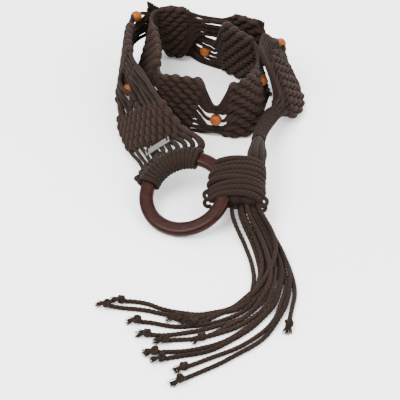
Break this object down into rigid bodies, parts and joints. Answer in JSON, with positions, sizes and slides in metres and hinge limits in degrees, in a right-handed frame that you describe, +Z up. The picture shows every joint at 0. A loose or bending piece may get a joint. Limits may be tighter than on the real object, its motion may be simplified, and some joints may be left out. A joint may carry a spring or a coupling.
{
  "type": "tassel belt",
  "caption": "Macrame hip belt coiled on its edge, with wooden beads, a wooden ring at one end and a knotted cord tassel at the other.",
  "frame": {"origin": "middle of the footprint's box, on the surface that the belt rests on", "axes": "+Y runs from the tassel's tips to the back of the coil, +X to the right, +Z up"},
  "size_m": [0.1652, 0.4126, 0.0565],
  "materials": {
    "belt_cord": "dark brown braided cotton cord, knotted, matt",
    "wound_cord": "dark brown braided cotton cord, wound, matt",
    "tassel_cord": "dark brown rope-laid cotton cord, matt, frayed tips",
    "dark_wood": "dark red-brown wood, polished and lacquered",
    "bead_wood": "orange-brown turned wood, satin",
    "metal": "brushed silver-coloured metal"
  },
  "bodies": {
    "root": {"band_panel_01": "belt_cord", "band_panel_02": "belt_cord", "band_panel_03": "belt_cord", "band_panel_04": "belt_cord", "band_panel_05": "belt_cord", "band_panel_06": "belt_cord", "band_panel_07": "belt_cord", "band_panel_08": "belt_cord", "band_panel_09": "belt_cord", "band_panel_10": "belt_cord", "bead_1": "bead_wood", "bead_2": "bead_wood", "bead_3": "bead_wood", "bead_4": "bead_wood", "bead_5": "bead_wood", "bead_6": "bead_wood", "bead_thread_1": "belt_cord", "bead_thread_2": "belt_cord", "bead_thread_3": "belt_cord", "bead_thread_4": "belt_cord", "bead_thread_5": "belt_cord", "bead_thread_6": "belt_cord", "metal_tag": "metal", "neck_cords": "wound_cord", "neck_wrap": "wound_cord", "ring_hitches": "wound_cord", "ring_knot": "wound_cord", "tassel": "tassel_cord", "wood_ring": "dark_wood"}
  },
  "joints": []
}
